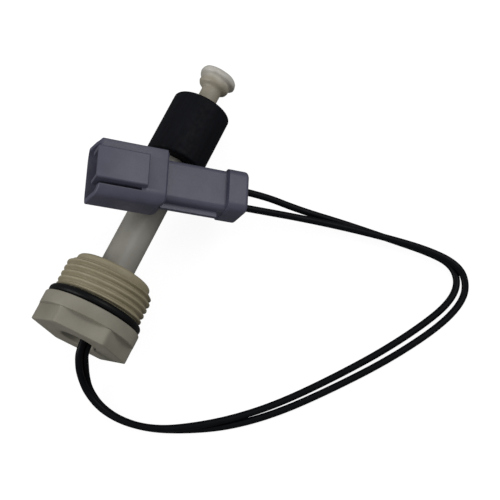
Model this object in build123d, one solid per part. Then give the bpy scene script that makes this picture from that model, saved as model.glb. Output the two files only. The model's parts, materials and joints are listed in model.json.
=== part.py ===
from build123d import *
import math
import os

# Oil level sensor: a screw-in plug with a float on its stem and a two-way connector on two lead wires.
# It lies on its side, as it was put down: the flange and the float touch the surface, the lead wires
# run over it in one loop, and the connector comes back to lie across the stem.
# Sizes are in millimetres. X runs along the stem, from the hexagon head to the end cap, and Z is up.

# Plug, turned about the stem axis. A station is a distance along that axis from the head's end face.
HEX_FLATS = 25.4
HEX_TURN = 8.2
HEX_END = 4.67
HEX_EDGE = 0.3
FLANGE_R = 14.54
FLANGE_END = 8.6
FLANGE_ROUND = 0.35
RELIEF_END = 11.25
THREAD_R = 13.22
THREAD_END = 19.9
THREAD_LEAD_IN = 0.5
THREAD_PITCH = 1.814
THREAD_ROOT_R = 12.06
THREAD_CREST_WIDTH = 0.45
THREAD_ROOT_WIDTH = 0.3
THREAD_FIRST_ROOT = 13.0
THREAD_ROOTS = 4
PILOT_R = 11.4
PILOT_END = 22.2
PILOT_ROUND = 1.0

# The plug's hollow side: a round recess for the splices, then the bore of the guide tube.
RECESS_R = 5.4
RECESS_EDGE = 0.4
RECESS_END = 15.0
POTTING_START = 2.0
GUIDE_R = 3.0
GUIDE_BORE_R = 2.05
GUIDE_BORE_END = 87.0
GUIDE_END = 88.0

# Ring seal under the flange
SEAL_SECTION_R = 1.25
SEAL_CENTRE_R = 12.9
SEAL_STATION = FLANGE_END + SEAL_SECTION_R
RELIEF_R = SEAL_CENTRE_R - SEAL_SECTION_R

# Spacer tube that stands in the pilot's counterbore and stops the float
SPACER_R = 5.13
SPACER_BORE_R = 3.1
SPACER_START = 19.2
SPACER_END = 59.85
SPACER_EDGE = 0.3
COUNTERBORE_R = 5.18

# Float and the ring magnet in it
FLOAT_R = 9.03
FLOAT_BORE_R = 3.3
FLOAT_START = 59.9
FLOAT_END = 79.85
FLOAT_ROUND = 0.95
FLOAT_BORE_EDGE = 0.3
MAGNET_START = 66.0
MAGNET_END = 72.0
MAGNET_BORE_R = 3.35
MAGNET_R = 5.2

# End cap: a lower tier that flares out of the neck, and a wider upper one that leans a little
CAP_START = 85.9
CAP_RIM_R = 3.3
CAP_LOWER_R = 4.62
CAP_LOWER_START = 87.5
CAP_LOWER_END = 88.7
CAP_WAIST_R = 4.45
CAP_DISC_R = 5.72
CAP_DISC_START = 90.2
CAP_DISC_END = 91.5
CAP_CROWN_R = 4.4
CAP_CROWN_END = 92.2
CAP_DISC_LEAN = -2.6
CAP_ROUND = 0.45

# Reed switch inside the guide tube
GLASS_R = 1.0
GLASS_BORE_R = 0.7
GLASS_START = 63.0
GLASS_END = 75.0
GLASS_SEAL = 1.3
REED_LEAD_R = 0.25
REED_LEAD_START = 58.0
REED_LEAD_END = 80.0
REED_WIDTH = 0.9
REED_THICK = 0.12
REED_GAP = 0.16
REED_LAP = 0.5

# Wires: the two leads outside, and the two thin ones up the guide tube
LEAD_R = 1.05
LEAD_START = 3.6
INNER_R = 0.42
INNER_FAR_OFFSET = 1.5
INNER_TURN_STATION = 83.5
SLEEVE_R = 1.2
SLEEVE_START = 2.6
SLEEVE_END = 7.5
LEAD_A_PLACE = (1.05, 1.5)
LEAD_B_PLACE = (-1.1, 2.65)

# Connector housing. Its places are forward, sideways and upward from the middle of its front rim.
SHELL_HALF_WIDTH = 8.51
SHELL_LOW = -6.33
SHELL_HIGH = 6.21
SHELL_CORNER = 3.9
SHELL_LENGTH = 20.5
SHELL_WALL = 1.21
MOUTH_DEPTH = 16.0
MOUTH_CORNER = 2.7
SHOULDER_LENGTH = 2.4
SHOULDER_STEP = 1.0
RIM_ROUND = 0.35
HOOD_HALF_WIDTH = 4.71
HOOD_HIGH = 8.4
HOOD_WALL = 1.05
HOOD_LENGTH = 14.5
HOOD_ROUND = 0.5
HOOD_LEG_LOW = 2.0
SLOT_WIDTH = 0.8
SLOT_LENGTH = 13.3
GRIP_HALF_WIDTH = 6.1
GRIP_LOW = -5.47
GRIP_HIGH = 4.4
GRIP_CORNER = 1.6
GRIP_END = 38.5
COLLAR_HALF_WIDTH = 6.39
COLLAR_LOW = -6.39
COLLAR_HIGH = 6.31
COLLAR_CORNER = 2.5
COLLAR_END = 44.54
COLLAR_ROUND = 1.1
POCKET_DEPTH = 5.9
POCKET_HALF_WIDTH = 4.9
POCKET_HALF_HEIGHT = 3.1
CONTACT_BORE_R = 1.5
CONTACT_NECK_R = 0.9

# Contacts, the wedge that locks them and the rear wire seal
CONTACT_SIDE = 2.6
CONTACT_HEIGHT = -0.6
CONTACT_TIP = 6.9
CONTACT_PIN_R = 0.79
CONTACT_SHOULDER = 17.5
CONTACT_COLLAR_R = 1.45
CONTACT_COLLAR_END = 20.0
CONTACT_BODY_R = 1.2
CONTACT_BODY_END = 30.0
CONTACT_CRIMP_R = 1.35
CONTACT_END = 38.0
WEDGE_FRONT = 12.5
WEDGE_HALF_WIDTH = 4.6
WEDGE_LOW = -3.3
WEDGE_HIGH = 1.8
WEDGE_HOLE_R = 1.0
WIRE_SEAL_SET_BACK = 0.5

# How the sensor lies: its rounded flange and float edges stand on the surface, so the stem slopes
# down towards the float. The head's place along X puts the middle of the sensor on the origin.
HEAD_FACE_X = -45.6
EDGE_DROP = (FLANGE_R - FLANGE_ROUND) - (FLOAT_R - FLOAT_ROUND)
EDGE_SPAN = (FLOAT_END - FLOAT_ROUND) - (FLANGE_END - FLANGE_ROUND)
ROUND_DIFFERENCE = FLOAT_ROUND - FLANGE_ROUND
SLOPE = math.acos(ROUND_DIFFERENCE / math.hypot(EDGE_DROP, EDGE_SPAN)) - math.atan2(EDGE_SPAN, EDGE_DROP)
HEAD_HEIGHT = (
    (FLANGE_R - FLANGE_ROUND) * math.cos(SLOPE)
    + (FLANGE_END - FLANGE_ROUND) * math.sin(SLOPE)
    + FLANGE_ROUND
)
STEM = Plane(
    origin=(HEAD_FACE_X, 0, HEAD_HEIGHT),
    x_dir=(math.sin(SLOPE), 0, math.cos(SLOPE)),
    z_dir=(math.cos(SLOPE), 0, -math.sin(SLOPE)),
).location

# How the connector lies: across the stem, nose up, its underside on the spacer tube.
CONNECTOR_FRONT = (-3.133, 15.209, 30.01)
CONNECTOR_HEADING = 111.07
CONNECTOR_PITCH = 21.51
CONNECTOR_ROLL = 4.32
CONNECTOR = (
    Pos(*CONNECTOR_FRONT)
    * Rot(0, 0, CONNECTOR_HEADING)
    * Rot(0, -CONNECTOR_PITCH, 0)
    * Rot(CONNECTOR_ROLL, 0, 0)
)
WIRE_EXIT_STRAIGHT = 50.0

BASE = (Align.CENTER, Align.CENTER, Align.MIN)


def rod(radius, start, end):
    """A round bar about the stem axis between two stations."""
    return Pos(0, 0, start) * Cylinder(radius, end - start, align=BASE)


def turned(*outline):
    """A solid of revolution about the stem axis, from its half section as (radius, station) pairs."""
    section = make_face(Polyline(*[(radius, 0, station) for radius, station in outline], close=True))
    return revolve(section, Axis.Z)


def rims(solid):
    """The circular edges of a turned solid."""
    return solid.edges().filter_by(GeomType.CIRCLE)


def block(front, rear, side_a, side_b, low, high):
    """A box in the connector's frame, with front and rear given as depths behind the rim."""
    size = (rear - front, side_b - side_a, high - low)
    middle = (-(front + rear) / 2, (side_a + side_b) / 2, (low + high) / 2)
    return Pos(*middle) * Box(*size)


def rounded_block(front, rear, half_width, low, high, corner):
    """A bar along the connector with rounded corners."""
    section = Plane.YZ.offset(-rear) * Pos(0, (low + high) / 2) * RectangleRounded(
        2 * half_width, high - low, corner
    )
    return extrude(section, rear - front)


def along_contact(radius, front, rear, side):
    """A round bar on a contact's axis."""
    axis = Plane(origin=(-rear, side, CONTACT_HEIGHT), z_dir=(1, 0, 0))
    return axis * Cylinder(radius, rear - front, align=BASE)


def bent_rod(points, radius, bends):
    """A round rod along straight runs joined by arcs."""
    path = FilletPolyline(*points, radius=bends)
    return sweep(Plane(origin=path @ 0, z_dir=path % 0) * Circle(radius), path=path)


# Plug


def hexagon_head():
    across_corners = HEX_FLATS / math.cos(math.pi / 6)
    outline = RegularPolygon(across_corners / 2, 6, rotation=HEX_TURN + 30)
    head = extrude(outline, HEX_END)
    end_face = head.faces().sort_by(Axis.Z)[0]
    return chamfer(end_face.edges(), HEX_EDGE) & rod(FLANGE_R, 0, HEX_END)


def thread_groove(station):
    """The V between two of the thread's crests, as a ring about the stem."""
    half_root = THREAD_ROOT_WIDTH / 2
    half_mouth = (THREAD_PITCH - THREAD_CREST_WIDTH) / 2
    return turned(
        (THREAD_ROOT_R, station - half_root),
        (THREAD_R, station - half_mouth),
        (FLANGE_R, station - half_mouth),
        (FLANGE_R, station + half_mouth),
        (THREAD_R, station + half_mouth),
        (THREAD_ROOT_R, station + half_root),
    )


def threaded_shank():
    """The thread as ridges one pitch apart, with a lead-in at each end."""
    shank = rod(THREAD_R, RELIEF_END, THREAD_END)
    shank = chamfer(rims(shank), THREAD_LEAD_IN)
    for turn in range(THREAD_ROOTS):
        shank -= thread_groove(THREAD_FIRST_ROOT + turn * THREAD_PITCH)
    return shank


def pilot():
    nose = rod(PILOT_R, THREAD_END, PILOT_END)
    nose = fillet(rims(nose).sort_by(Axis.Z)[-1:], PILOT_ROUND)
    return nose - rod(COUNTERBORE_R, SPACER_START, PILOT_END)


def plug_body():
    flange = rod(FLANGE_R, HEX_END, FLANGE_END)
    flange = fillet(rims(flange), FLANGE_ROUND)
    relief = rod(RELIEF_R, FLANGE_END, RELIEF_END)
    shank = threaded_shank() - rod(COUNTERBORE_R, SPACER_START, THREAD_END)
    body = hexagon_head() + flange + relief + shank + pilot()
    body += rod(GUIDE_R, RECESS_END, GUIDE_END)
    recess_mouth = turned(
        (0, 0), (RECESS_R + RECESS_EDGE, 0), (RECESS_R, RECESS_EDGE), (0, RECESS_EDGE)
    )
    body -= recess_mouth
    body -= rod(RECESS_R, 0, RECESS_END)
    return body - rod(GUIDE_BORE_R, RECESS_END, GUIDE_BORE_END)


def sealing_ring():
    return Pos(0, 0, SEAL_STATION) * Torus(SEAL_CENTRE_R, SEAL_SECTION_R)


def spacer_tube():
    tube = rod(SPACER_R, SPACER_START, SPACER_END)
    tube = fillet(rims(tube).sort_by(Axis.Z)[-1:], SPACER_EDGE)
    return tube - rod(SPACER_BORE_R, SPACER_START, SPACER_END)


def end_cap():
    lower = turned(
        (0, CAP_START),
        (CAP_RIM_R, CAP_START),
        (CAP_LOWER_R, CAP_LOWER_START),
        (CAP_LOWER_R, CAP_LOWER_END),
        (0, CAP_LOWER_END),
    )
    lower = fillet(rims(lower).filter_by_position(Axis.Z, CAP_LOWER_START - 0.1, CAP_LOWER_END), CAP_ROUND)
    middle = (CAP_DISC_START + CAP_DISC_END) / 2
    upper = turned(
        (0, CAP_LOWER_END - CAP_ROUND - middle),
        (CAP_WAIST_R, CAP_LOWER_END - CAP_ROUND - middle),
        (CAP_DISC_R, CAP_DISC_START - middle),
        (CAP_DISC_R, CAP_DISC_END - middle),
        (CAP_CROWN_R, CAP_CROWN_END - middle),
        (0, CAP_CROWN_END - middle),
    )
    upper = fillet(rims(upper).sort_by(Axis.Z)[1:], CAP_ROUND)
    upper = Pos(0, 0, middle) * Rot(CAP_DISC_LEAN, 0, 0) * upper
    return lower + upper - rod(GUIDE_R, CAP_START, GUIDE_END)


# Float


def float_body():
    body = fillet(rims(rod(FLOAT_R, FLOAT_START, FLOAT_END)), FLOAT_ROUND)
    bore = rod(FLOAT_BORE_R, FLOAT_START, FLOAT_END)
    body = body - bore
    bore_rims = rims(body).filter_by(lambda edge: abs(edge.radius - FLOAT_BORE_R) < 0.01)
    body = chamfer(bore_rims, FLOAT_BORE_EDGE)
    return body - rod(MAGNET_R, MAGNET_START, MAGNET_END)


def ring_magnet():
    return rod(MAGNET_R, MAGNET_START, MAGNET_END) - rod(MAGNET_BORE_R, MAGNET_START, MAGNET_END)


# Reed switch and its wiring


def reed_glass():
    capsule = rod(GLASS_R, GLASS_START, GLASS_END)
    capsule = fillet(rims(capsule), GLASS_R * 0.6)
    capsule -= rod(GLASS_BORE_R, GLASS_START + GLASS_SEAL, GLASS_END - GLASS_SEAL)
    return capsule - rod(REED_LEAD_R, GLASS_START, GLASS_END)


def reed_blade(near):
    """A round lead that is pressed flat inside the glass; the two flats overlap at the middle."""
    middle = (GLASS_START + GLASS_END) / 2
    if near:
        lead = rod(REED_LEAD_R, REED_LEAD_START, GLASS_START + GLASS_SEAL)
        start, end, side = GLASS_START + GLASS_SEAL, middle + REED_LAP, 1
    else:
        lead = rod(REED_LEAD_R, GLASS_END - GLASS_SEAL, REED_LEAD_END)
        start, end, side = middle - REED_LAP, GLASS_END - GLASS_SEAL, -1
    place = Pos(side * (REED_GAP + REED_THICK) / 2, 0, start)
    return lead + place * Box(REED_THICK, REED_WIDTH, end - start, align=BASE)


def inner_wire_near():
    up, side = LEAD_A_PLACE
    points = [(up, side, LEAD_START), (up, side, 10.0), (0, 0, 15.5), (0, 0, REED_LEAD_START)]
    return bent_rod(points, INNER_R, 4.0)


def inner_wire_far():
    """Runs past the glass and turns back to the switch's far lead."""
    up, side = LEAD_B_PLACE
    points = [
        (up, side, LEAD_START),
        (up, side, 9.0),
        (-INNER_FAR_OFFSET, 0, 15.5),
        (-INNER_FAR_OFFSET, 0, INNER_TURN_STATION),
        (0, 0, INNER_TURN_STATION),
        (0, 0, REED_LEAD_END),
    ]
    turn = INNER_FAR_OFFSET * 0.48
    return bent_rod(points, INNER_R, [4.0, 4.0, turn, turn])


def splice_sleeve(place):
    """Shrink sleeve over the place where a lead's conductor meets the inner wire."""
    sleeve = rod(SLEEVE_R, SLEEVE_START, SLEEVE_END)
    sleeve -= rod(LEAD_R, SLEEVE_START, LEAD_START)
    sleeve -= rod(INNER_R, LEAD_START, SLEEVE_END)
    return Pos(*place, 0) * sleeve


def potting_fill(buried):
    """The resin that fills the recess round everything buried in it."""
    fill = rod(RECESS_R, POTTING_START, RECESS_END)
    for piece in buried:
        fill -= piece
    return fill


# Connector


def shell():
    """The open front half: mouth, latch tunnel over it and the slots beside the tunnel."""
    outer = rounded_block(0, SHELL_LENGTH, SHELL_HALF_WIDTH, SHELL_LOW, SHELL_HIGH, SHELL_CORNER)
    outer = fillet(outer.faces().sort_by(Axis.X)[-1].edges(), RIM_ROUND)
    hood = block(0, HOOD_LENGTH, -HOOD_HALF_WIDTH, HOOD_HALF_WIDTH, 0, HOOD_HIGH)
    long_edges = hood.edges().filter_by(Axis.X).group_by(Axis.Z)[-1]
    rear_edge = hood.faces().sort_by(Axis.X)[0].edges().group_by(Axis.Z)[-1]
    hood = fillet(long_edges + rear_edge, HOOD_ROUND)
    outer += hood

    mouth_half = SHELL_HALF_WIDTH - SHELL_WALL
    mouth_low = SHELL_LOW + SHELL_WALL
    mouth_high = SHELL_HIGH - SHELL_WALL
    outer -= rounded_block(0, MOUTH_DEPTH, mouth_half, mouth_low, mouth_high, MOUTH_CORNER)
    leg_high = SHELL_HIGH - SHELL_WALL / 2
    tunnel_half = HOOD_HALF_WIDTH - HOOD_WALL
    for sign in (-1, 1):
        inner, outside = sorted((sign * tunnel_half, sign * HOOD_HALF_WIDTH))
        outer += block(0, MOUTH_DEPTH, inner, outside, HOOD_LEG_LOW, leg_high)
        near, far = sorted((sign * HOOD_HALF_WIDTH, sign * (HOOD_HALF_WIDTH + SLOT_WIDTH)))
        outer -= block(0, SLOT_LENGTH, near, far, HOOD_LEG_LOW, HOOD_HIGH)
    return outer - block(0, SLOT_LENGTH, -tunnel_half, tunnel_half, HOOD_LEG_LOW, HOOD_HIGH - HOOD_WALL)


def shoulder_cuts():
    """Wedges that slope the shell's rear down to the grip, longer on one side and below."""
    start = -(SHELL_LENGTH - SHOULDER_LENGTH)
    end = -SHELL_LENGTH - SHOULDER_STEP
    grip_side = GRIP_HALF_WIDTH + 0.2
    side_cut = Plane.XY * make_face(
        Polyline((start, SHELL_HALF_WIDTH), (end, SHELL_HALF_WIDTH), (end, grip_side), close=True)
    )
    side_cut = Pos(0, 0, -3 * SHELL_HIGH) * extrude(side_cut, 6 * SHELL_HIGH)
    low_cut = Plane.XZ * make_face(
        Polyline((start, SHELL_LOW), (end, SHELL_LOW), (end, GRIP_LOW), close=True)
    )
    low_cut = Pos(0, 2 * SHELL_HALF_WIDTH, 0) * extrude(low_cut, 4 * SHELL_HALF_WIDTH)
    return side_cut, low_cut


def connector_housing():
    body = shell()
    rear_face = body.faces().filter_by(Axis.X).sort_by(Axis.X)[0]
    top_and_far = rear_face.edges().filter_by(
        lambda edge: edge.center().Z > SHELL_HIGH - 0.1 or edge.center().Y < -SHELL_HALF_WIDTH + 0.1
    )
    body = chamfer(top_and_far, SHOULDER_STEP * 0.6)
    for cut in shoulder_cuts():
        body -= cut
    body += rounded_block(
        MOUTH_DEPTH, GRIP_END + COLLAR_ROUND, GRIP_HALF_WIDTH, GRIP_LOW, GRIP_HIGH, GRIP_CORNER
    )
    collar = rounded_block(
        GRIP_END, COLLAR_END, COLLAR_HALF_WIDTH, COLLAR_LOW, COLLAR_HIGH, COLLAR_CORNER
    )
    rear_edges = collar.faces().sort_by(Axis.X)[0].edges()
    collar = fillet(rear_edges, COLLAR_ROUND)
    body += collar

    pocket_low = CONTACT_HEIGHT - POCKET_HALF_HEIGHT
    pocket_high = CONTACT_HEIGHT + POCKET_HALF_HEIGHT
    pocket_start = COLLAR_END - POCKET_DEPTH
    body -= rounded_block(
        pocket_start, COLLAR_END, POCKET_HALF_WIDTH, pocket_low, pocket_high, POCKET_HALF_HEIGHT - 0.1
    )
    for side in (-CONTACT_SIDE, CONTACT_SIDE):
        body -= along_contact(CONTACT_BORE_R, CONTACT_SHOULDER, pocket_start, side)
        body -= along_contact(CONTACT_NECK_R, MOUTH_DEPTH, CONTACT_SHOULDER, side)
    return body


def pin_contact(side):
    """Solid pin with a stop collar, and a crimp barrel that the lead's end stands against."""
    pin = along_contact(CONTACT_PIN_R, CONTACT_TIP, CONTACT_SHOULDER, side)
    pin = fillet(pin.edges().sort_by(Axis.X)[-1:], CONTACT_PIN_R * 0.6)
    pin += along_contact(CONTACT_COLLAR_R, CONTACT_SHOULDER, CONTACT_COLLAR_END, side)
    pin += along_contact(CONTACT_BODY_R, CONTACT_COLLAR_END, CONTACT_BODY_END, side)
    return pin + along_contact(CONTACT_CRIMP_R, CONTACT_BODY_END, CONTACT_END, side)


def wedge_lock():
    """The bar behind the mouth that holds both contacts."""
    wedge = block(WEDGE_FRONT, MOUTH_DEPTH, -WEDGE_HALF_WIDTH, WEDGE_HALF_WIDTH, WEDGE_LOW, WEDGE_HIGH)
    front_edges = wedge.faces().sort_by(Axis.X)[-1].edges()
    wedge = fillet(front_edges, 0.4)
    for side in (-CONTACT_SIDE, CONTACT_SIDE):
        wedge -= along_contact(WEDGE_HOLE_R, WEDGE_FRONT, MOUTH_DEPTH, side)
    return wedge


def wire_seal():
    """Soft block that fills the rear pocket round both leads."""
    seal = rounded_block(
        COLLAR_END - POCKET_DEPTH,
        COLLAR_END - WIRE_SEAL_SET_BACK,
        POCKET_HALF_WIDTH,
        CONTACT_HEIGHT - POCKET_HALF_HEIGHT,
        CONTACT_HEIGHT + POCKET_HALF_HEIGHT,
        POCKET_HALF_HEIGHT - 0.1,
    )
    for side in (-CONTACT_SIDE, CONTACT_SIDE):
        seal -= along_contact(LEAD_R, CONTACT_END, COLLAR_END, side)
    return seal


# Lead wires: the points that each one's runs go between, from the plug round to the connector


def plug_point(place, station):
    return tuple((STEM * Pos(*place, station)).position)


def connector_point(depth, side):
    return tuple((CONNECTOR * Pos(-depth, side, CONTACT_HEIGHT)).position)


def lead_a_route():
    """This lead lies over the other one near the plug and under it at the far end of the loop."""
    return [
        plug_point(LEAD_A_PLACE, LEAD_START),
        plug_point(LEAD_A_PLACE, -1.9),
        (-51.6, -2.9, 13.2),
        (-54.2, -4.3, 8.6),
        (-56.9, -6.9, 4.8),
        (-59.5, -12.6, 3.3),
        (-59.9, -20.8, 3.3),
        (-57.7, -29.6, 3.3),
        (-52.5, -38.6, 3.3),
        (-45.6, -47.9, 2.3),
        (-36.3, -57.7, 1.3),
        (-23.6, -68.4, LEAD_R),
        (-9.1, -79.4, LEAD_R),
        (5.2, -88.2, LEAD_R),
        (13.4, -91.5, LEAD_R),
        (19.2, -91.0, LEAD_R),
        (23.0, -87.0, LEAD_R),
        (23.5, -79.8, LEAD_R),
        (22.4, -67.8, 1.1),
        (20.6, -53.0, 2.6),
        (17.8, -39.5, 6.0),
        connector_point(WIRE_EXIT_STRAIGHT, -CONTACT_SIDE),
        connector_point(CONTACT_END, -CONTACT_SIDE),
    ]


def lead_b_route():
    return [
        plug_point(LEAD_B_PLACE, LEAD_START),
        plug_point(LEAD_B_PLACE, -1.5),
        (-50.7, -4.0, 10.4),
        (-53.1, -4.8, 6.1),
        (-55.8, -6.6, 2.6),
        (-58.7, -11.5, LEAD_R),
        (-59.8, -18.5, LEAD_R),
        (-58.6, -26.8, LEAD_R),
        (-54.4, -36.8, LEAD_R),
        (-48.2, -47.6, LEAD_R),
        (-38.8, -58.6, LEAD_R),
        (-25.6, -70.2, LEAD_R),
        (-10.6, -82.0, LEAD_R),
        (4.8, -91.6, LEAD_R),
        (14.8, -94.8, LEAD_R),
        (20.7, -92.6, 2.0),
        (23.2, -87.7, 3.3),
        (23.4, -78.8, 3.4),
        (21.6, -66.0, 3.5),
        (18.6, -52.2, 4.8),
        (15.0, -40.0, 7.6),
        connector_point(WIRE_EXIT_STRAIGHT, CONTACT_SIDE),
        connector_point(CONTACT_END, CONTACT_SIDE),
    ]


def bend_radii(points):
    """Each corner's arc is as large as its two runs allow."""
    corners = [Vector(*point) for point in points]
    radii = []
    for before, corner, after in zip(corners, corners[1:], corners[2:]):
        turn = math.radians((corner - before).get_angle(after - corner))
        shorter = min((corner - before).length, (after - corner).length)
        radii.append(0.45 * shorter / math.tan(turn / 2))
    return radii


def lead_wire(name, points):
    radii = bend_radii(points)
    path = FilletPolyline(*points, radius=radii)
    wire = sweep(Plane(origin=path @ 0, z_dir=path % 0) * Circle(LEAD_R), path=path)
    expected = math.pi * LEAD_R**2 * path.length
    print(name, "length", round(path.length, 1), "volume", round(wire.volume, 1), "of", round(expected, 1))
    print(name, "radii", [round(radius, 1) for radius in radii])
    return wire


def build():
    """Every node by name, in place."""
    inner_near = inner_wire_near()
    inner_far = inner_wire_far()
    sleeve_near = splice_sleeve(LEAD_A_PLACE)
    sleeve_far = splice_sleeve(LEAD_B_PLACE)
    lead_ends = [Pos(*place, 0) * rod(LEAD_R, 0, LEAD_START) for place in (LEAD_A_PLACE, LEAD_B_PLACE)]
    on_the_stem = {
        "plug_body": plug_body(),
        "sealing_ring": sealing_ring(),
        "spacer_tube": spacer_tube(),
        "end_cap": end_cap(),
        "float_body": float_body(),
        "ring_magnet": ring_magnet(),
        "reed_glass": reed_glass(),
        "reed_blade_near": reed_blade(near=True),
        "reed_blade_far": reed_blade(near=False),
        "inner_wire_near": inner_near,
        "inner_wire_far": inner_far,
        "splice_sleeve_near": sleeve_near,
        "splice_sleeve_far": sleeve_far,
        "potting_fill": potting_fill([sleeve_near, sleeve_far, inner_near, inner_far, *lead_ends]),
    }
    in_the_connector = {
        "connector_housing": connector_housing(),
        "wedge_lock": wedge_lock(),
        "wire_seal": wire_seal(),
        "pin_contact_a": pin_contact(-CONTACT_SIDE),
        "pin_contact_b": pin_contact(CONTACT_SIDE),
    }
    nodes = {name: STEM * solid for name, solid in on_the_stem.items()}
    nodes.update({name: CONNECTOR * solid for name, solid in in_the_connector.items()})
    nodes["lead_wire_a"] = lead_wire("lead_wire_a", lead_a_route())
    nodes["lead_wire_b"] = lead_wire("lead_wire_b", lead_b_route())
    return nodes


def main():
    os.makedirs("parts", exist_ok=True)
    for name, solid in build().items():
        export_step(solid, f"parts/{name}.step")


main()
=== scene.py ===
import json
import math

import bmesh
import bpy
from mathutils import Matrix, Vector


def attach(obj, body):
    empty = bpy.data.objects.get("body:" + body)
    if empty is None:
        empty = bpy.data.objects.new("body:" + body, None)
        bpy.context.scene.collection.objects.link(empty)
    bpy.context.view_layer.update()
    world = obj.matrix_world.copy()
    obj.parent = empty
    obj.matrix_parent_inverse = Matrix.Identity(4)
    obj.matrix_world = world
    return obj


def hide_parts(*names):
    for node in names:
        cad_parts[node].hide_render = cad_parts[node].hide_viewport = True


# Oil level sensor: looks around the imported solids. Lengths here are in millimetres, turned into
# metres by MM where Blender takes them.
MM = 0.001

# Camera, as it stood for the photograph
CAMERA_PLACE = (-66.67, -62.60, 291.21)
CAMERA_FORWARD = (0.2280, 0.1058, -0.9679)
CAMERA_RIGHT = (0.4209, -0.9071, 0.0)
SENSOR_WIDTH = 36.0
LENS = 72.0

# Plug: stations are distances along the stem axis from the head's end face.
HEX_FLATS = 25.4
HEX_TURN = math.radians(8.2)
HEX_ROUND = 1.2
HEX_END = 4.67
HEX_EDGE_ROUND = 0.3
HEX_FACE_MARGIN = 0.35
HEX_RINGS = (1.2, 2.3, 3.4, 4.42)
FLANGE_R = 14.54
FLANGE_END = 8.6
FLANGE_ROUND = 0.35
FLANGE_MARGIN = 0.02
RELIEF_R = 11.65
RELIEF_END = 11.25
RELIEF_FILLET = 0.15
THREAD_R = 13.22
THREAD_PITCH = 1.814
THREAD_DEPTH = 0.95
THREAD_END = 19.9
THREAD_PHASE = 0.66
THREAD_CREST_SHARE = 0.15
THREAD_FLANK_SHARE = 0.75
THREAD_RUN_IN = 0.55
THREAD_RUN_OUT = 0.75
THREAD_FIRST_SLOPE = 0.1
THREAD_LAST_SLOPE = 0.25
THREAD_RINGS = 64
PILOT_R = 11.4
PILOT_END = 22.2
PILOT_ROUND = 1.0
RECESS_R = 5.4
RECESS_END = 15.0
RECESS_ROUND = 0.4
COUNTERBORE_R = 5.18
COUNTERBORE_START = 19.2
COUNTERBORE_CHAMFER = 0.2
GUIDE_R = 3.0
GUIDE_END = 88.0
GUIDE_RINGS = (60.0, 74.0)
GUIDE_BORE_R = 2.05
GUIDE_BORE_END = 87.0
PLUG_SEGMENTS = 240
THREAD_MOUNT_STATION = 15.575

# Where the plug's colour changes, along the shared X axis
SEAL_X = -35.0
NECK_X = 0.0
TONE_BLEND = 1.0

# Fillet from the hexagon to the flange: step out, margin inside the flange's edge, distance to the flange
HEX_FILLET = (
    (0.05, 0.05, 0.08),
    (0.25, 0.03, 0.0),
)

# End cap: its outline as (station, radius), its lean and how uneven it is
CAP_OUTLINE = (
    (86.1, 3.02),
    (86.5, 3.2),
    (86.8, 3.8),
    (87.05, 4.2),
    (87.3, 4.5),
    (87.7, 4.68),
    (88.1, 4.78),
    (88.5, 4.72),
    (88.9, 4.66),
    (89.3, 4.7),
    (89.55, 5.05),
    (89.8, 5.5),
    (90.1, 5.76),
    (90.4, 5.8),
    (90.8, 5.72),
    (91.3, 5.6),
    (91.7, 5.35),
    (91.95, 4.9),
    (92.05, 4.2),
)
CAP_SEGMENTS = 96
CAP_LEAN = 0.045
CAP_LEAN_START = 88.6
CAP_LEAN_RISE = 1.2
CAP_WAVE = 0.09
CAP_WAVE_START = 86.6
CAP_WAVE_RISE = 1.5
CAP_TONE_START = 42.4
CAP_TONE_END = 44.8

# The cap's unevenness: waves round it, share of each, turn per millimetre along it
CAP_WAVES = (
    (3, 1.0, 1.0),
    (5, 0.6, 2.3),
    (8, 0.4, -1.7),
)

# Lead wires
LEAD_R = 1.05
LEAD_START = 3.6
LEAD_A_PLACE = (1.05, 1.5)
LEAD_A_OUT = -1.9
LEAD_B_PLACE = (-1.1, 2.65)
LEAD_B_OUT = -1.5

# Connector
CONNECTOR_FRONT = (-3.133, 15.209, 30.01)
CONNECTOR_HEADING = math.radians(111.07)
CONNECTOR_PITCH = math.radians(21.51)
CONNECTOR_ROLL = math.radians(4.32)
CONTACT_SIDE = 2.6
CONTACT_HEIGHT = -0.6
CONTACT_END = 38.0
RIM_DEPTH = 1.0
RIM_SLANT = 1.6
RIM_FORWARD = 0.35
RIM_SLANT_LOW = -0.2
RIM_SLANT_HIGH = 5.8
RIM_BESIDE_HOOD = 5.2
CORNER_SIDE = 4.61
CORNER_UP = 2.31
FAR_SIDE_IN = 0.6
LOW_SIDE_OUT = 0.25
LOW_SIDE_REACH = 3.0
SIDE_BLEND = 2.4
SHELL_REAR = 20.7
GRIP_SIDE = 6.15
GRIP_LOW = -5.5
GRIP_HIGH = 4.45
RAIL_FORWARD = (-36.6, -20.0)
RAIL_SIDE = (5.6, 7.7)
RAIL_UP = (0.1, 1.5)
EDGE_ROUND = 0.14
WELD = 0.002
WIRE_EXIT_STRAIGHT = 50.0

# Floor and light, in metres and watts
FLOOR_SIZE = 6.0
FLOOR_TONE = 0.2
FLOOR_GLOW = 0.9
WORLD_STRENGTH = 0.42
LAMP_SIZE = 0.5
KEY_PLACE = (-0.43, 0.70, 0.50)
KEY_POWER = 3.6
FILL_PLACE = (0.49, -0.33, 0.76)
FILL_POWER = 2.8

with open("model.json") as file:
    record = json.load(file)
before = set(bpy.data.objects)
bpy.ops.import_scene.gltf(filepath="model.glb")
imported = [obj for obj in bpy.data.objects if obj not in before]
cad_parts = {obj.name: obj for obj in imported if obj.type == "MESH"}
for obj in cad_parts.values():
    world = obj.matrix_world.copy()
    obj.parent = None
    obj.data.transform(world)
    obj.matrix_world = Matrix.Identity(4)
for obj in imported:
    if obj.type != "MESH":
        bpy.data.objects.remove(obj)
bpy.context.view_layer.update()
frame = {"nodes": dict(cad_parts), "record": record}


def clamped(value):
    return min(max(value, 0.0), 1.0)


# Frames of the stem and the connector


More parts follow.
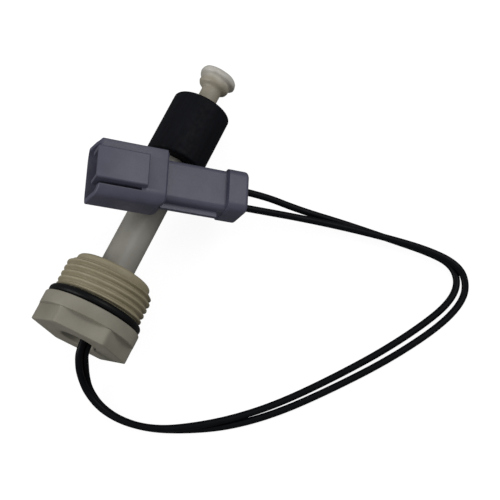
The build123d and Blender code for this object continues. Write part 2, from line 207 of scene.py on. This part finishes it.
def stem_matrix():
    """Local X points up from the stem, local Z runs along it from the head's end face."""
    mount = next(m for m in frame["record"]["mounts"] if m["name"] == "thread")
    along = Vector(mount["axis"]).normalized()
    origin = Vector(mount["pos_m"]) - along * THREAD_MOUNT_STATION * MM
    up = Vector((-along.z, 0, along.x))
    side = along.cross(up)
    turn = Matrix((up, side, along)).transposed().to_4x4()
    return Matrix.Translation(origin) @ turn


def connector_matrix():
    """Local X points forward out of the mouth, Y to the side and Z up."""
    return (
        Matrix.Translation(Vector(CONNECTOR_FRONT) * MM)
        @ Matrix.Rotation(CONNECTOR_HEADING, 4, "Z")
        @ Matrix.Rotation(-CONNECTOR_PITCH, 4, "Y")
        @ Matrix.Rotation(CONNECTOR_ROLL, 4, "X")
    )


STEM = stem_matrix()
CONNECTOR = connector_matrix()


# Materials


class Nodes:
    """A material's node tree with short calls for what the materials below share."""

    def __init__(self, name):
        self.material = bpy.data.materials.new(name)
        self.material.use_nodes = True
        self.tree = self.material.node_tree
        self.shader = self.tree.nodes["Principled BSDF"]
        self.place = self.tree.nodes.new("ShaderNodeTexCoord").outputs["Object"]

    def link(self, source, target):
        self.tree.links.new(source, target)

    def scaled(self, size):
        """Object coordinates in units of size millimetres, which may differ by axis."""
        mapping = self.tree.nodes.new("ShaderNodeMapping")
        sizes = size if isinstance(size, tuple) else (size, size, size)
        mapping.inputs["Scale"].default_value = [1 / (s * MM) for s in sizes]
        self.link(self.place, mapping.inputs["Vector"])
        return mapping.outputs["Vector"]

    def noise(self, size, detail=3.0, roughness=0.5):
        texture = self.tree.nodes.new("ShaderNodeTexNoise")
        texture.inputs["Scale"].default_value = 1.0
        texture.inputs["Detail"].default_value = detail
        texture.inputs["Roughness"].default_value = roughness
        self.link(self.scaled(size), texture.inputs["Vector"])
        return texture.outputs["Fac"]

    def cells(self, size):
        texture = self.tree.nodes.new("ShaderNodeTexVoronoi")
        texture.inputs["Scale"].default_value = 1.0
        self.link(self.scaled(size), texture.inputs["Vector"])
        return texture.outputs["Distance"]

    def mottle(self, source, low, high, start=0.3, end=0.7):
        """A colour that wanders from low to high as the source goes from start to end."""
        ramp = self.tree.nodes.new("ShaderNodeValToRGB")
        stops = ((start, low), (end, high))
        for element, (position, colour) in zip(ramp.color_ramp.elements, stops):
            element.position = position
            element.color = (*colour, 1.0)
        self.link(source, ramp.inputs["Fac"])
        return ramp.outputs["Color"]

    def along_x(self, near, far, start, end):
        """One colour before start and another past end, as millimetres along X."""
        parts = self.tree.nodes.new("ShaderNodeSeparateXYZ")
        self.link(self.place, parts.inputs[0])
        share = self.tree.nodes.new("ShaderNodeMapRange")
        share.inputs["From Min"].default_value = start * MM
        share.inputs["From Max"].default_value = end * MM
        self.link(parts.outputs["X"], share.inputs["Value"])
        mix = self.tree.nodes.new("ShaderNodeMix")
        mix.data_type = "RGBA"
        self.link(share.outputs["Result"], mix.inputs["Factor"])
        self.link(near, mix.inputs["A"])
        self.link(far, mix.inputs["B"])
        return mix.outputs["Result"]

    def levels(self, source, low, high):
        """The source's middle range stretched to low and high."""
        spread = self.tree.nodes.new("ShaderNodeMapRange")
        spread.inputs["From Min"].default_value = 0.3
        spread.inputs["From Max"].default_value = 0.7
        spread.inputs["To Min"].default_value = low
        spread.inputs["To Max"].default_value = high
        self.link(source, spread.inputs["Value"])
        return spread.outputs["Result"]

    def bump(self, *layers):
        """Bumps on each other, as (source, depth in millimetres) pairs."""
        normal = None
        for source, depth in layers:
            node = self.tree.nodes.new("ShaderNodeBump")
            node.inputs["Distance"].default_value = depth * MM
            self.link(source, node.inputs["Height"])
            if normal:
                self.link(normal, node.inputs["Normal"])
            normal = node.outputs["Normal"]
        self.link(normal, self.shader.inputs["Normal"])

    def colour(self, source):
        self.link(source, self.shader.inputs["Base Color"])

    def roughness(self, source):
        self.link(source, self.shader.inputs["Roughness"])

    def set(self, **values):
        for name, value in values.items():
            self.shader.inputs[name.replace("_", " ")].default_value = value


def srgb(red, green, blue):
    """A colour as it shows on screen, 0 to 255, turned into linear values."""
    channels = (red / 255, green / 255, blue / 255)
    return tuple(c / 12.92 if c <= 0.04045 else ((c + 0.055) / 1.055) ** 2.4 for c in channels)


def plug_plastic():
    """Glass-filled beige moulding: cloudy tone, fine fibre grain, greyer on the head than on the thread."""
    m = Nodes("plug_plastic")
    cloud = m.noise(9.0, detail=4.0)
    grain = m.noise(0.5, detail=5.0, roughness=0.65)
    head = m.mottle(cloud, srgb(128, 124, 112), srgb(143, 139, 126))
    thread = m.mottle(cloud, srgb(143, 134, 109), srgb(156, 148, 124))
    neck = m.mottle(cloud, srgb(143, 136, 121), srgb(155, 149, 134))
    shank = m.along_x(thread, neck, NECK_X - TONE_BLEND, NECK_X + TONE_BLEND)
    m.colour(m.along_x(head, shank, SEAL_X - TONE_BLEND, SEAL_X + TONE_BLEND))
    m.roughness(m.levels(grain, 0.42, 0.6))
    m.bump((m.noise(2.2), 0.05), (grain, 0.03))
    m.set(Specular_IOR_Level=0.4)
    return m.material


def stem_plastic():
    """Greyer tube with faint draw lines along it."""
    m = Nodes("stem_plastic")
    lines = m.noise((30.0, 0.35, 0.35), detail=3.0)
    m.colour(m.mottle(m.noise(7.0), srgb(136, 133, 125), srgb(146, 143, 135)))
    m.roughness(m.levels(lines, 0.36, 0.5))
    m.bump((lines, 0.012))
    m.set(Specular_IOR_Level=0.45)
    return m.material


def cap_plastic():
    """Plain pale plastic, melted into the beige neck below it."""
    m = Nodes("cap_plastic")
    cloud = m.noise(3.0, detail=4.0)
    neck = m.mottle(cloud, srgb(150, 142, 126), srgb(163, 156, 140))
    pale = m.mottle(cloud, srgb(182, 179, 170), srgb(200, 197, 190))
    m.colour(m.along_x(neck, pale, CAP_TONE_START, CAP_TONE_END))
    m.roughness(m.levels(m.noise(0.8), 0.4, 0.55))
    m.bump((m.noise(1.4), 0.08))
    return m.material


def float_foam():
    """Black closed-cell rubber with a skin: fine pits and faint streaks."""
    m = Nodes("float_foam")
    pits = m.cells(0.55)
    m.colour(m.mottle(m.noise((9.0, 1.2, 1.2), detail=5.0), srgb(9, 10, 15), srgb(17, 18, 24), 0.25, 0.75))
    m.roughness(m.levels(m.noise(1.5), 0.55, 0.75))
    m.bump((pits, 0.03), (m.noise(0.3, detail=4.0), 0.02))
    m.set(Specular_IOR_Level=0.1)
    return m.material


def black_rubber():
    m = Nodes("seal_rubber")
    m.colour(m.mottle(m.noise(2.0), srgb(5, 6, 8), srgb(10, 11, 14)))
    m.roughness(m.levels(m.noise(0.6), 0.35, 0.5))
    m.bump((m.noise(0.4, detail=4.0), 0.01))
    m.set(Specular_IOR_Level=0.15)
    return m.material


def wire_jacket():
    """Smooth black insulation with faint die lines and dust."""
    m = Nodes("wire_jacket")
    m.colour(m.mottle(m.noise(1.6, detail=5.0), srgb(4, 5, 9), srgb(9, 11, 16), 0.35, 0.75))
    m.roughness(m.levels(m.noise(1.0), 0.4, 0.52))
    m.bump((m.noise(3.0), 0.03), (m.noise(0.35), 0.006))
    m.set(Specular_IOR_Level=0.1)
    return m.material


def housing_plastic():
    """Bluish grey moulding with a fine satin texture."""
    m = Nodes("housing_plastic")
    grain = m.noise(0.28, detail=4.0, roughness=0.6)
    m.colour(m.mottle(m.noise(6.0, detail=4.0), srgb(71, 71, 88), srgb(79, 79, 97)))
    m.roughness(m.levels(grain, 0.38, 0.52))
    m.bump((m.noise(4.0), 0.05), (grain, 0.012))
    m.set(Specular_IOR_Level=0.45)
    return m.material


def plain_plastic(name, low, high, rough=0.45):
    m = Nodes(name)
    m.colour(m.mottle(m.noise(1.5), low, high))
    m.roughness(m.levels(m.noise(0.5), rough - 0.06, rough + 0.08))
    m.bump((m.noise(0.6), 0.02))
    return m.material


def bright_metal(name, low, high):
    m = Nodes(name)
    m.colour(m.mottle(m.noise(0.8), low, high))
    m.roughness(m.levels(m.noise((0.2, 3.0, 3.0)), 0.22, 0.36))
    m.set(Metallic=1.0)
    return m.material


def clear_glass():
    m = Nodes("reed_glass")
    m.colour(m.mottle(m.noise(2.0), srgb(214, 232, 222), srgb(226, 240, 232)))
    m.set(Transmission_Weight=1.0, Roughness=0.04, IOR=1.5)
    return m.material


def dress(materials):
    """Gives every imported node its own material."""
    for name, material in materials.items():
        node = frame["nodes"][name]
        node.data.materials.clear()
        node.data.materials.append(material)
        for polygon in node.data.polygons:
            polygon.material_index = 0


# Plug with its thread


def hexagon_radius(angle):
    """Distance from the axis to the hexagon with its rounded corners at this angle."""
    from_flat = abs((angle - HEX_TURN + math.pi / 6) % (math.pi / 3) - math.pi / 6)
    flat = HEX_FLATS / 2
    if math.tan(from_flat) * flat < (flat - HEX_ROUND) * math.tan(math.pi / 6):
        return flat / math.cos(from_flat)
    centre = (flat - HEX_ROUND) / math.cos(math.pi / 6)
    from_corner = math.pi / 6 - from_flat
    return centre * math.cos(from_corner) + math.sqrt(HEX_ROUND**2 - (centre * math.sin(from_corner)) ** 2)


def thread_profile(turn):
    """Radius of the rounded thread at a share of its pitch, from crest to crest."""
    from_crest = abs((turn + 0.5) % 1.0 - 0.5) * 2
    flank = clamped((from_crest - THREAD_CREST_SHARE) / THREAD_FLANK_SHARE)
    return THREAD_R - THREAD_DEPTH * flank * flank * (3 - 2 * flank)


def thread_radius(angle, station):
    """The helix, run in from the relief and run out to the pilot."""
    turn = (station - RELIEF_END) / THREAD_PITCH - angle / (2 * math.pi) + THREAD_PHASE
    run_in = (station - RELIEF_END) / THREAD_RUN_IN
    run_out = (THREAD_END - station) / THREAD_RUN_OUT
    root = THREAD_R - THREAD_DEPTH
    return root + (thread_profile(turn) - root) * clamped(min(run_in, run_out))


def hex_edge(angle):
    """Distance to the hexagon, with its corners cut off just inside the flange's edge."""
    return min(hexagon_radius(angle), FLANGE_R - FLANGE_MARGIN)


def plug_rings():
    """The plug's surface from its hollow side round to the guide tube, as (radius rule, station)."""
    rings = []

    def add(radius, station):
        rings.append((radius if callable(radius) else (lambda angle, r=radius: r), station))

    def rounded(radius, station, size, opening, steps=4):
        """A rounded edge: opening where the surface runs outward, else where it turns inward."""
        for step in range(steps + 1):
            t = step / steps * math.pi / 2
            if opening:
                add(radius - size + size * math.sin(t), station + size - size * math.cos(t))
            else:
                add(radius - size + size * math.cos(t), station - size + size * math.sin(t))

    add(GUIDE_BORE_R, GUIDE_BORE_END)
    add(GUIDE_BORE_R, RECESS_END)
    add(RECESS_R, RECESS_END)
    add(RECESS_R, RECESS_ROUND)
    add(RECESS_R + 0.3 * RECESS_ROUND, 0.4 * RECESS_ROUND)
    face_start = RECESS_R + RECESS_ROUND
    add(face_start, 0.0)
    for share in (0.25, 0.5, 0.75):
        add(lambda angle, s=share: face_start + (hex_edge(angle) - HEX_FACE_MARGIN - face_start) * s, 0.0)
    for step in range(4):
        t = step / 3 * math.pi / 2
        station = HEX_EDGE_ROUND * (1 - math.cos(t))
        add(lambda angle, t=t: hex_edge(angle) - HEX_EDGE_ROUND * (1 - math.sin(t)), station)
    for station in HEX_RINGS:
        add(hex_edge, station)
    for out, margin, before in HEX_FILLET:
        add(lambda angle, o=out, m=margin: min(hex_edge(angle) + o, FLANGE_R - m), HEX_END - before)
    rounded(FLANGE_R, HEX_END, FLANGE_ROUND, True)
    rounded(FLANGE_R, FLANGE_END, FLANGE_ROUND, False)
    add(RELIEF_R + RELIEF_FILLET, FLANGE_END)
    add(RELIEF_R, FLANGE_END + RELIEF_FILLET)
    add(RELIEF_R, RELIEF_END - THREAD_FIRST_SLOPE)
    for step in range(THREAD_RINGS + 1):
        station = RELIEF_END + (THREAD_END - RELIEF_END) * step / THREAD_RINGS
        add(lambda angle, s=station: thread_radius(angle, s), station)
    add(PILOT_R, THREAD_END + THREAD_LAST_SLOPE)
    add(PILOT_R, PILOT_END - PILOT_ROUND)
    rounded(PILOT_R, PILOT_END, PILOT_ROUND, False, steps=8)
    add(COUNTERBORE_R + COUNTERBORE_CHAMFER, PILOT_END)
    add(COUNTERBORE_R, PILOT_END - COUNTERBORE_CHAMFER)
    add(COUNTERBORE_R, COUNTERBORE_START)
    add(GUIDE_R, COUNTERBORE_START)
    for station in GUIDE_RINGS:
        add(GUIDE_R, station)
    add(GUIDE_R, GUIDE_END)
    return rings


def lathe(name, rings, segments, first_angle, matrix):
    """A closed mesh from rings about the stem axis; its ends are closed by caps."""
    mesh = bmesh.new()
    rows = []
    for radius, station in rings:
        row = []
        for index in range(segments):
            angle = first_angle + 2 * math.pi * index / segments
            r = radius(angle)
            point = matrix @ Vector((r * math.cos(angle) * MM, r * math.sin(angle) * MM, station * MM))
            row.append(mesh.verts.new(point))
        rows.append(row)
    for row, following in zip(rows, rows[1:]):
        for index in range(segments):
            ahead = (index + 1) % segments
            mesh.faces.new((row[index], row[ahead], following[ahead], following[index]))
    mesh.faces.new(rows[0])
    mesh.faces.new(rows[-1])
    bmesh.ops.recalc_face_normals(mesh, faces=mesh.faces)
    data = bpy.data.meshes.new(name)
    mesh.to_mesh(data)
    mesh.free()
    made = bpy.data.objects.new(name, data)
    bpy.context.scene.collection.objects.link(made)
    smooth(data)
    return made


def smooth(data, angle=35):
    """Smooth shading that keeps edges sharper than this angle."""
    for polygon in data.polygons:
        polygon.use_smooth = True
    data.set_sharp_from_angle(angle=math.radians(angle))


def make_plug(material):
    corner = HEX_TURN + math.pi / 6
    plug = lathe("threaded_plug", plug_rings(), PLUG_SEGMENTS, corner, STEM)
    plug.data.materials.append(material)
    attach(plug, "plug")
    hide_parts("plug_body")


# End cap


def make_cap(material):
    """The cap as it is: a lower tier and a leaning disc with uneven edges."""
    rings = []
    for station, radius in CAP_OUTLINE:
        share = clamped((station - CAP_WAVE_START) / CAP_WAVE_RISE)

        def uneven(angle, r=radius, s=station, k=share):
            wave = sum(part * math.sin(count * angle + turn * s) for count, part, turn in CAP_WAVES)
            return r + CAP_WAVE * k * wave

        rings.append((uneven, station))
    cap = lathe("rounded_cap", rings, CAP_SEGMENTS, 0.0, Matrix.Identity(4))
    for vertex in cap.data.vertices:
        share = clamped((vertex.co.z / MM - CAP_LEAN_START) / CAP_LEAN_RISE)
        vertex.co.z -= CAP_LEAN * share * vertex.co.y
    cap.data.transform(STEM)
    smooth(cap.data, 60)
    cap.data.materials.append(material)
    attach(cap, "plug")
    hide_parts("end_cap")


# Connector housing


def shell_section(side, up):
    """The shell's outline: a tighter corner on the far side above, a fuller one on the near side below."""
    across = abs(side) - CORNER_SIDE
    above = up - CORNER_UP
    if side > 0:
        low = clamped(-up / LOW_SIDE_REACH)
        return side + LOW_SIDE_OUT * low * clamped(across / SIDE_BLEND), up
    if across < 0:
        return side, up
    if above < 0:
        return side + FAR_SIDE_IN * min(across / SIDE_BLEND, 1.0), up
    reach = math.hypot(across, above)
    if reach < 2 * FAR_SIDE_IN:
        return side, up
    stretch = 1 / max(across / (reach - FAR_SIDE_IN), above / reach)
    return -(CORNER_SIDE + across * stretch), CORNER_UP + above * stretch


def make_housing(material):
    """The housing with its rim set back by the hood, a rail beside the grip and rounds on its edges."""
    data = frame["nodes"]["connector_housing"].data.copy()
    data.transform(CONNECTOR.inverted() @ frame["nodes"]["connector_housing"].matrix_world)
    mesh = bmesh.new()
    mesh.from_mesh(data)
    bmesh.ops.remove_doubles(mesh, verts=mesh.verts, dist=WELD * MM)
    for vertex in mesh.verts:
        forward, side, up = vertex.co / MM
        if forward > -RIM_DEPTH and abs(side) > RIM_BESIDE_HOOD:
            share = (up - RIM_SLANT_LOW) / (RIM_SLANT_HIGH - RIM_SLANT_LOW)
            low = clamped(-up / LOW_SIDE_REACH - 1)
            vertex.co.x += (RIM_FORWARD * (1 - low) - RIM_SLANT * clamped(share)) * MM
        on_shell = abs(side) > GRIP_SIDE or not GRIP_LOW < up < GRIP_HIGH
        if forward > -SHELL_REAR and on_shell:
            side, up = shell_section(side, up)
            vertex.co.y = side * MM
            vertex.co.z = up * MM
    flat = math.radians(0.5)
    bmesh.ops.dissolve_limit(mesh, angle_limit=flat, verts=mesh.verts, edges=mesh.edges)
    size = [high - low for low, high in (RAIL_FORWARD, RAIL_SIDE, RAIL_UP)]
    middle = [(high + low) / 2 for low, high in (RAIL_FORWARD, RAIL_SIDE, RAIL_UP)]
    rail = Matrix.Translation(Vector(middle) * MM) @ Matrix.Diagonal((*(Vector(size) * MM), 1))
    bmesh.ops.create_cube(mesh, size=1.0, matrix=rail)
    mesh.to_mesh(data)
    mesh.free()
    data.transform(CONNECTOR)
    housing = bpy.data.objects.new("housing", data)
    bpy.context.scene.collection.objects.link(housing)
    rounds = housing.modifiers.new("edge rounds", "BEVEL")
    rounds.width = EDGE_ROUND * MM
    rounds.segments = 2
    rounds.limit_method = "ANGLE"
    rounds.angle_limit = math.radians(40)
    smooth(data, 60)
    data.materials.clear()
    data.materials.append(material)
    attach(housing, "plug")
    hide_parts("connector_housing")
    return housing


# Lead wires


def plug_point(place, station):
    return STEM @ (Vector((*place, station)) * MM)


def connector_point(depth, side):
    return CONNECTOR @ (Vector((-depth, side, CONTACT_HEIGHT)) * MM)


def in_metres(points):
    return [Vector(point) * MM for point in points]


def lead_a_route():
    """This lead lies over the other one near the plug and under it at the far end of the loop."""
    middle = [
        (-51.6, -2.9, 13.2),
        (-54.2, -4.3, 8.6),
        (-56.9, -6.9, 4.8),
        (-59.5, -12.6, 3.3),
        (-59.9, -20.8, 3.3),
        (-57.7, -29.6, 3.3),
        (-52.5, -38.6, 3.3),
        (-45.6, -47.9, 2.3),
        (-36.3, -57.7, 1.3),
        (-23.6, -68.4, LEAD_R),
        (-9.1, -79.4, LEAD_R),
        (5.2, -88.2, LEAD_R),
        (13.4, -91.5, LEAD_R),
        (19.2, -91.0, LEAD_R),
        (23.0, -87.0, LEAD_R),
        (23.5, -79.8, LEAD_R),
        (22.4, -67.8, 1.1),
        (20.6, -53.0, 2.6),
        (17.8, -39.5, 6.0),
    ]
    start = [plug_point(LEAD_A_PLACE, LEAD_START), plug_point(LEAD_A_PLACE, LEAD_A_OUT)]
    end = [connector_point(WIRE_EXIT_STRAIGHT, -CONTACT_SIDE), connector_point(CONTACT_END, -CONTACT_SIDE)]
    return start + in_metres(middle) + end


def lead_b_route():
    middle = [
        (-50.7, -4.0, 10.4),
        (-53.1, -4.8, 6.1),
        (-55.8, -6.6, 2.6),
        (-58.7, -11.5, LEAD_R),
        (-59.8, -18.5, LEAD_R),
        (-58.6, -26.8, LEAD_R),
        (-54.4, -36.8, LEAD_R),
        (-48.2, -47.6, LEAD_R),
        (-38.8, -58.6, LEAD_R),
        (-25.6, -70.2, LEAD_R),
        (-10.6, -82.0, LEAD_R),
        (4.8, -91.6, LEAD_R),
        (14.8, -94.8, LEAD_R),
        (20.7, -92.6, 2.0),
        (23.2, -87.7, 3.3),
        (23.4, -78.8, 3.4),
        (21.6, -66.0, 3.5),
        (18.6, -52.2, 4.8),
        (15.0, -40.0, 7.6),
    ]
    start = [plug_point(LEAD_B_PLACE, LEAD_START), plug_point(LEAD_B_PLACE, LEAD_B_OUT)]
    end = [connector_point(WIRE_EXIT_STRAIGHT, CONTACT_SIDE), connector_point(CONTACT_END, CONTACT_SIDE)]
    return start + in_metres(middle) + end


def make_lead(name, node, points, material):
    curve = bpy.data.curves.new(name, "CURVE")
    curve.dimensions = "3D"
    curve.resolution_u = 10
    curve.bevel_depth = LEAD_R * MM
    curve.bevel_resolution = 6
    curve.use_fill_caps = True
    spline = curve.splines.new("NURBS")
    spline.points.add(len(points) - 1)
    for control, point in zip(spline.points, points):
        control.co = (*point, 1.0)
    spline.order_u = 3
    spline.use_endpoint_u = True
    curve.materials.append(material)
    lead = bpy.data.objects.new(name, curve)
    bpy.context.scene.collection.objects.link(lead)
    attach(lead, "plug")
    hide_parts(node)


# Floor, light and camera


def camera_switch(tree, lighting, seen):
    """One shader for the rays from the camera and another for all others."""
    path = tree.nodes.new("ShaderNodeLightPath")
    switch = tree.nodes.new("ShaderNodeMixShader")
    tree.links.new(path.outputs["Is Camera Ray"], switch.inputs[0])
    tree.links.new(lighting.outputs[0], switch.inputs[1])
    tree.links.new(seen.outputs[0], switch.inputs[2])
    return switch.outputs[0]


def make_floor():
    """Pale floor that shows white, with the object's soft shadow kept on it."""
    bpy.ops.mesh.primitive_plane_add(size=FLOOR_SIZE, location=(0, 0, 0))
    floor = bpy.context.object
    floor.name = "floor"
    material = bpy.data.materials.new("floor")
    material.use_nodes = True
    tree = material.node_tree
    shader = tree.nodes["Principled BSDF"]
    shader.inputs["Base Color"].default_value = (FLOOR_TONE, FLOOR_TONE, FLOOR_TONE, 1.0)
    shader.inputs["Roughness"].default_value = 0.9
    shader.inputs["Specular IOR Level"].default_value = 0.1
    glow = tree.nodes.new("ShaderNodeEmission")
    glow.inputs["Strength"].default_value = FLOOR_GLOW
    nothing = tree.nodes.new("ShaderNodeEmission")
    nothing.inputs["Strength"].default_value = 0.0
    total = tree.nodes.new("ShaderNodeAddShader")
    tree.links.new(shader.outputs[0], total.inputs[0])
    tree.links.new(camera_switch(tree, nothing, glow), total.inputs[1])
    tree.links.new(total.outputs[0], tree.nodes["Material Output"].inputs["Surface"])
    floor.data.materials.append(material)


def make_world():
    """Even grey light; rays from the camera see white."""
    world = bpy.data.worlds.new("studio")
    bpy.context.scene.world = world
    world.use_nodes = True
    tree = world.node_tree
    light = tree.nodes["Background"]
    light.inputs["Color"].default_value = (1, 1, 1, 1)
    light.inputs["Strength"].default_value = WORLD_STRENGTH
    white = tree.nodes.new("ShaderNodeBackground")
    white.inputs["Color"].default_value = (1, 1, 1, 1)
    white.inputs["Strength"].default_value = 1.0
    tree.links.new(camera_switch(tree, light, white), tree.nodes["World Output"].inputs["Surface"])


def make_lamp(name, place, power):
    """A square lamp that faces the origin."""
    lamp = bpy.data.lights.new(name, "AREA")
    lamp.shape = "SQUARE"
    lamp.size = LAMP_SIZE
    lamp.energy = power
    holder = bpy.data.objects.new(name, lamp)
    bpy.context.scene.collection.objects.link(holder)
    holder.location = place
    holder.rotation_mode = "QUATERNION"
    holder.rotation_quaternion = (-Vector(place)).to_track_quat("-Z", "Y")


def make_camera():
    data = bpy.data.cameras.new("camera")
    data.sensor_width = SENSOR_WIDTH
    data.lens = LENS
    data.clip_start = 0.01
    data.clip_end = 20.0
    camera = bpy.data.objects.new("camera", data)
    bpy.context.scene.collection.objects.link(camera)
    forward = Vector(CAMERA_FORWARD).normalized()
    right = Vector(CAMERA_RIGHT).normalized()
    up = right.cross(forward)
    turn = Matrix((right, up, -forward)).transposed().to_4x4()
    camera.matrix_world = Matrix.Translation(Vector(CAMERA_PLACE) * MM) @ turn
    bpy.context.scene.camera = camera


def build():
    bpy.context.scene.view_settings.view_transform = "Standard"
    make_camera()
    make_floor()
    make_world()
    make_lamp("key", KEY_PLACE, KEY_POWER)
    make_lamp("fill", FILL_PLACE, FILL_POWER)

    plug = plug_plastic()
    cap = cap_plastic()
    grey = housing_plastic()
    rubber = black_rubber()
    jacket = wire_jacket()
    sleeve = plain_plastic("sleeve_plastic", srgb(18, 18, 20), srgb(28, 28, 30))
    resin = plain_plastic("potting_resin", srgb(30, 30, 30), srgb(44, 43, 42), 0.3)
    orange = plain_plastic("wedge_plastic", srgb(176, 92, 44), srgb(190, 104, 54))
    silicone = plain_plastic("wire_seal_rubber", srgb(168, 84, 46), srgb(182, 96, 56), 0.55)
    steel = bright_metal("reed_metal", (0.62, 0.62, 0.6), (0.72, 0.72, 0.7))
    nickel = bright_metal("contact_metal", (0.6, 0.58, 0.54), (0.72, 0.7, 0.66))
    copper = bright_metal("copper_wire", (0.6, 0.3, 0.18), (0.72, 0.4, 0.26))
    magnet = plain_plastic("magnet_ferrite", srgb(50, 50, 52), srgb(62, 62, 64), 0.5)
    dress(
        {
            "plug_body": plug,
            "spacer_tube": stem_plastic(),
            "sealing_ring": rubber,
            "end_cap": cap,
            "float_body": float_foam(),
            "ring_magnet": magnet,
            "reed_glass": clear_glass(),
            "reed_blade_near": steel,
            "reed_blade_far": steel,
            "inner_wire_near": copper,
            "inner_wire_far": copper,
            "splice_sleeve_near": sleeve,
            "splice_sleeve_far": sleeve,
            "potting_fill": resin,
            "connector_housing": grey,
            "wedge_lock": orange,
            "wire_seal": silicone,
            "pin_contact_a": nickel,
            "pin_contact_b": nickel,
            "lead_wire_a": jacket,
            "lead_wire_b": jacket,
        }
    )
    make_plug(plug)
    make_cap(cap)
    housing = make_housing(grey)
    make_lead("lead_a", "lead_wire_a", lead_a_route(), jacket)
    make_lead("lead_b", "lead_wire_b", lead_b_route(), jacket)


build()
